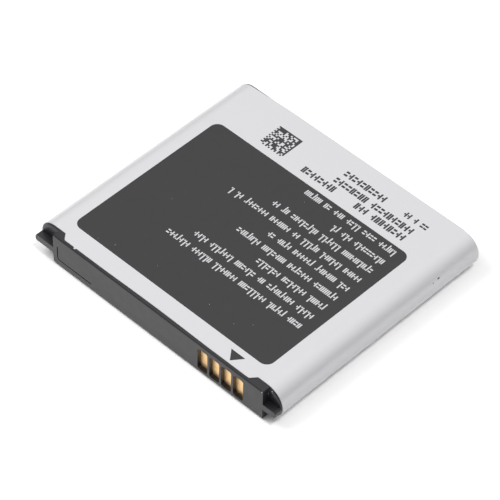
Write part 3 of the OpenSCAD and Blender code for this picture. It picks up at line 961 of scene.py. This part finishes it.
@dataclass
class Smoothing:
    """Welds a solid's loose triangles and shades them smooth up to an angle.

    Attributes:
        angle: edges that turn more than this many degrees stay crisp.
        bevel: the width of the small round put on crisp edges, or zero for none.
    """

    angle: float = 32.0
    bevel: float = 0.0

    def group(self) -> bpy.types.NodeTree:
        """The geometry nodes that forget the stored normals and shade by angle."""
        name = f"smooth_{self.angle:g}"
        known = bpy.data.node_groups.get(name)
        if known:
            return known
        tree = bpy.data.node_groups.new(name, "GeometryNodeTree")
        tree.interface.new_socket("Geometry", in_out="INPUT", socket_type="NodeSocketGeometry")
        tree.interface.new_socket("Geometry", in_out="OUTPUT", socket_type="NodeSocketGeometry")
        build = Shader(tree)
        mesh = build.node("NodeGroupInput")
        plain = build.node("GeometryNodeRemoveAttribute", {}, {"Geometry": mesh, "Name": "custom_normal"})
        soft = build.node("GeometryNodeSetShadeSmooth", {"domain": "FACE"},
                          {0: plain, "Shade Smooth": True})
        turn = build.node("GeometryNodeInputMeshEdgeAngle")
        crisp = build.node("GeometryNodeSetShadeSmooth", {"domain": "EDGE"},
                           {0: soft, "Selection": turn > math.radians(self.angle), "Shade Smooth": False})
        build.node("NodeGroupOutput", {}, {0: crisp})
        return tree

    def apply(self, name: str) -> None:
        """Adds the modifiers to a solid.

        Args:
            name: the solid's node.
        """
        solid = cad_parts[name]
        weld = solid.modifiers.new("weld", "WELD")
        weld.merge_threshold = 1e-6
        if self.bevel:
            bevel = solid.modifiers.new("bevel", "BEVEL")
            bevel.width = self.bevel * MM
            bevel.segments = 2
            bevel.limit_method = "ANGLE"
            bevel.angle_limit = math.radians(self.angle)
            bevel.use_clamp_overlap = True
        smooth = solid.modifiers.new("smooth", "NODES")
        smooth.node_group = self.group()
        LOG.info("%s: smoothed", name)


class Solids:
    """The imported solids, each with its own finish."""

    def dress(self) -> None:
        """Gives each solid its material and smooths the moulded ones."""
        for name, finish in NODE_FINISHES.items():
            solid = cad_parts[name]
            if not solid.material_slots:
                solid.data.materials.append(finish.material())
            for place in solid.material_slots:
                place.material = finish.material()
            LOG.info("%s: %s", name, finish.name)
        Smoothing().apply("end_cap")


@dataclass(frozen=True)
class Lamp:
    """A soft square lamp that looks at the pack.

    Attributes:
        name: its name.
        turn: where it stands, in degrees round the pack from the contact face towards +X.
        rise: its height over the floor, in degrees.
        away: its distance in metres.
        side: its size in metres.
        level: the light that it gives a white surface facing it, where 1 is white.
    """

    name: str
    turn: float
    rise: float
    away: float
    side: float
    level: float

    def build(self) -> None:
        """Makes the lamp. A white surface facing it at distance d is white at pi^2 d^2 watts."""
        turn, rise = math.radians(self.turn), math.radians(self.rise)
        out = Vector((math.sin(turn) * math.cos(rise), -math.cos(turn) * math.cos(rise), math.sin(rise)))
        data = bpy.data.lights.new(self.name, "AREA")
        data.shape = "SQUARE"
        data.size = self.side
        data.energy = math.pi ** 2 * self.away ** 2 * self.level
        lamp = bpy.data.objects.new(self.name, data)
        lamp.matrix_world = Matrix.Translation(out * self.away) @ out.to_track_quat("Z", "Y").to_matrix().to_4x4()
        lamp.visible_glossy = False
        bpy.context.scene.collection.objects.link(lamp)
        LOG.info("%s: %.1f W", self.name, data.energy)


@dataclass
class Studio:
    """The pale floor, the white surroundings, the lamps and the camera.

    Attributes:
        camera_at: the camera's place in millimetres.
        azimuth: its turn round the pack, in degrees.
        elevation: its height over the floor, in degrees.
        roll: its roll, in degrees.
        lens: its focal length for the sensor's width, in millimetres.
        ambient: the light that matt surfaces get from the horizon and from overhead.
        mirrored: the light that is mirrored from the horizon and from overhead.
        band: the height, as a sine, at which the horizon ends in reflections and where it is white.
        floor_matt: the floor's grey as it lights matt surfaces.
        floor_seen: its grey to the camera, over 1 as the photo's floor is overexposed.
        floor_mirrored: its grey in reflections.
        clear: the distances between which the floor turns plain white, in millimetres.
    """

    camera_at: tuple[float, float, float] = (216.95, -234.42, 344.80)
    azimuth: float = 42.968
    elevation: float = 47.026
    roll: float = 1.514
    lens: float = 215.390
    sensor: float = 36.0
    ambient: tuple[float, float] = (0.06, 0.70)
    mirrored: tuple[float, float] = (0.14, 1.64)
    band: tuple[float, float] = (0.3, 0.85)
    floor_matt: float = 0.75
    floor_seen: float = 1.25
    floor_mirrored: float = 1.45
    clear: tuple[float, float] = (60.0, 260.0)
    floor_side: float = 6.0
    lamps: list[Lamp] = field(default_factory=lambda: [
        Lamp("left_lamp", -58.0, 50.0, 0.55, 0.30, 0.38),
        Lamp("right_lamp", 84.0, 69.0, 0.8, 0.13, 0.28),
    ])

    def seen_directly(self, shader: Shader) -> Signal:
        """One for camera, glossy and transmission rays, and zero for the rest."""
        rays = [shader.node("ShaderNodeLightPath", output=name)
                for name in ("Is Camera Ray", "Is Glossy Ray", "Is Transmission Ray")]
        return rays[0].at_least(rays[1]).at_least(rays[2])

    def world(self) -> None:
        """Surroundings white overhead and darker low down, softer to matt surfaces, and seen as white."""
        made = bpy.data.worlds.new("surroundings")
        made.use_nodes = True
        shader = Shader(made.node_tree)
        way = shader.node("ShaderNodeTexCoord", output="Generated")
        rise = shader.node("ShaderNodeSeparateXYZ", {}, {0: way}, output="Z")
        skies = []
        for (low, high), (start, end) in ((self.ambient, (0.0, 1.0)), (self.mirrored, self.band)):
            share = ((rise - start) * (1 / (end - start))).at_least(0.0).at_most(1.0)
            dim, full = (shader.node("ShaderNodeBackground", {}, {"Color": (1, 1, 1, 1), "Strength": level})
                         for level in (low, high))
            skies.append(shader.node("ShaderNodeMixShader", {}, {0: share, 1: dim, 2: full}))
        mixed = shader.node("ShaderNodeMixShader", {}, {0: self.seen_directly(shader), 1: skies[0], 2: skies[1]})
        white = shader.node("ShaderNodeBackground", {}, {"Color": (1, 1, 1, 1), "Strength": 1.0})
        shown = shader.node("ShaderNodeMixShader", {}, {
            0: shader.node("ShaderNodeLightPath", output="Is Camera Ray"), 1: mixed, 2: white})
        shader.node("ShaderNodeOutputWorld", {}, {"Surface": shown})
        bpy.context.scene.world = made

    def floor(self) -> None:
        """A pale floor that keeps the pack's shadow and turns plain white further off."""
        reach = self.floor_side / 2
        mesh = bpy.data.meshes.new("floor")
        corners = [(-reach, -reach, 0), (reach, -reach, 0), (reach, reach, 0), (-reach, reach, 0)]
        mesh.from_pydata(corners, [], [[0, 1, 2, 3]])
        mesh.transform(Matrix.Translation((0, 0, -0.01 * MM)))
        made = bpy.data.materials.new("floor")
        made.use_nodes = True
        shader = Shader(made.node_tree)
        place = shader.place()
        far = shader.node("ShaderNodeVectorMath", {"operation": "LENGTH"}, {0: place}, output="Value")
        near, beyond = self.clear
        fade = ((far - near) * (1 / (beyond - near))).at_least(0.0).at_most(1.0)
        speck = 1 + 0.004 * shader.noise(place, 9.0)
        matt, *halves = (shader.node("ShaderNodeBsdfPrincipled", {}, {
            "Base Color": shader.scaled((grey,) * 3, speck), "Roughness": 1.0, "Specular IOR Level": 0.0})
            for grey in (self.floor_matt, self.floor_seen / 2, self.floor_mirrored / 2))
        seen, mirrored = (shader.node("ShaderNodeAddShader", {}, {0: half, 1: half}) for half in halves)
        directly = self.seen_directly(shader)
        shown = shader.node("ShaderNodeMixShader", {}, {
            0: shader.node("ShaderNodeLightPath", output="Is Camera Ray"), 1: mirrored, 2: seen})
        lit = shader.node("ShaderNodeMixShader", {}, {0: directly, 1: matt, 2: shown})
        white = shader.node("ShaderNodeEmission", {}, {"Color": (1, 1, 1, 1), "Strength": 1.0})
        surface = shader.node("ShaderNodeMixShader", {}, {0: directly * fade, 1: lit, 2: white})
        shader.node("ShaderNodeOutputMaterial", {}, {"Surface": surface})
        mesh.materials.append(made)
        floor = bpy.data.objects.new("floor", mesh)
        bpy.context.scene.collection.objects.link(floor)

    def camera(self) -> None:
        """Places the camera from its angles, and rolls it about its own line of sight."""
        turn, rise, roll = (math.radians(a) for a in (self.azimuth, self.elevation, self.roll))
        back = Vector((math.sin(turn) * math.cos(rise), -math.cos(turn) * math.cos(rise), math.sin(rise)))
        level = Vector((math.cos(turn), math.sin(turn), 0))
        up = back.cross(level)
        right = level * math.cos(roll) + up * math.sin(roll)
        up = up * math.cos(roll) - level * math.sin(roll)
        data = bpy.data.cameras.new("camera")
        data.lens = self.lens
        data.sensor_width = self.sensor
        data.clip_start = 0.01
        camera = bpy.data.objects.new("camera", data)
        turned = Matrix((right, up, back)).transposed().to_4x4()
        camera.matrix_world = Matrix.Translation(Vector(self.camera_at) * MM) @ turned
        bpy.context.scene.collection.objects.link(camera)
        bpy.context.scene.camera = camera

    def build(self) -> None:
        """Makes the whole studio."""
        self.camera()
        self.world()
        self.floor()
        for lamp in self.lamps:
            lamp.build()
        bpy.context.scene.view_settings.view_transform = "Standard"
        LOG.info("studio: %d lamps", len(self.lamps))


def main() -> None:
    """Builds the studio, the solids' finishes, the film and its print."""
    logging.basicConfig(level=logging.INFO, format="%(name)s: %(message)s")
    Studio().build()
    Solids().dress()
    pack = Pack()
    LOG.info("pack: %.2f by %.2f by %.2f mm", pack.width, pack.length, pack.thick)
    LabelWrap(pack).build()
    Print(pack).build()
    WearAndGlints(pack).build()


if __name__ == "__main__":
    main()
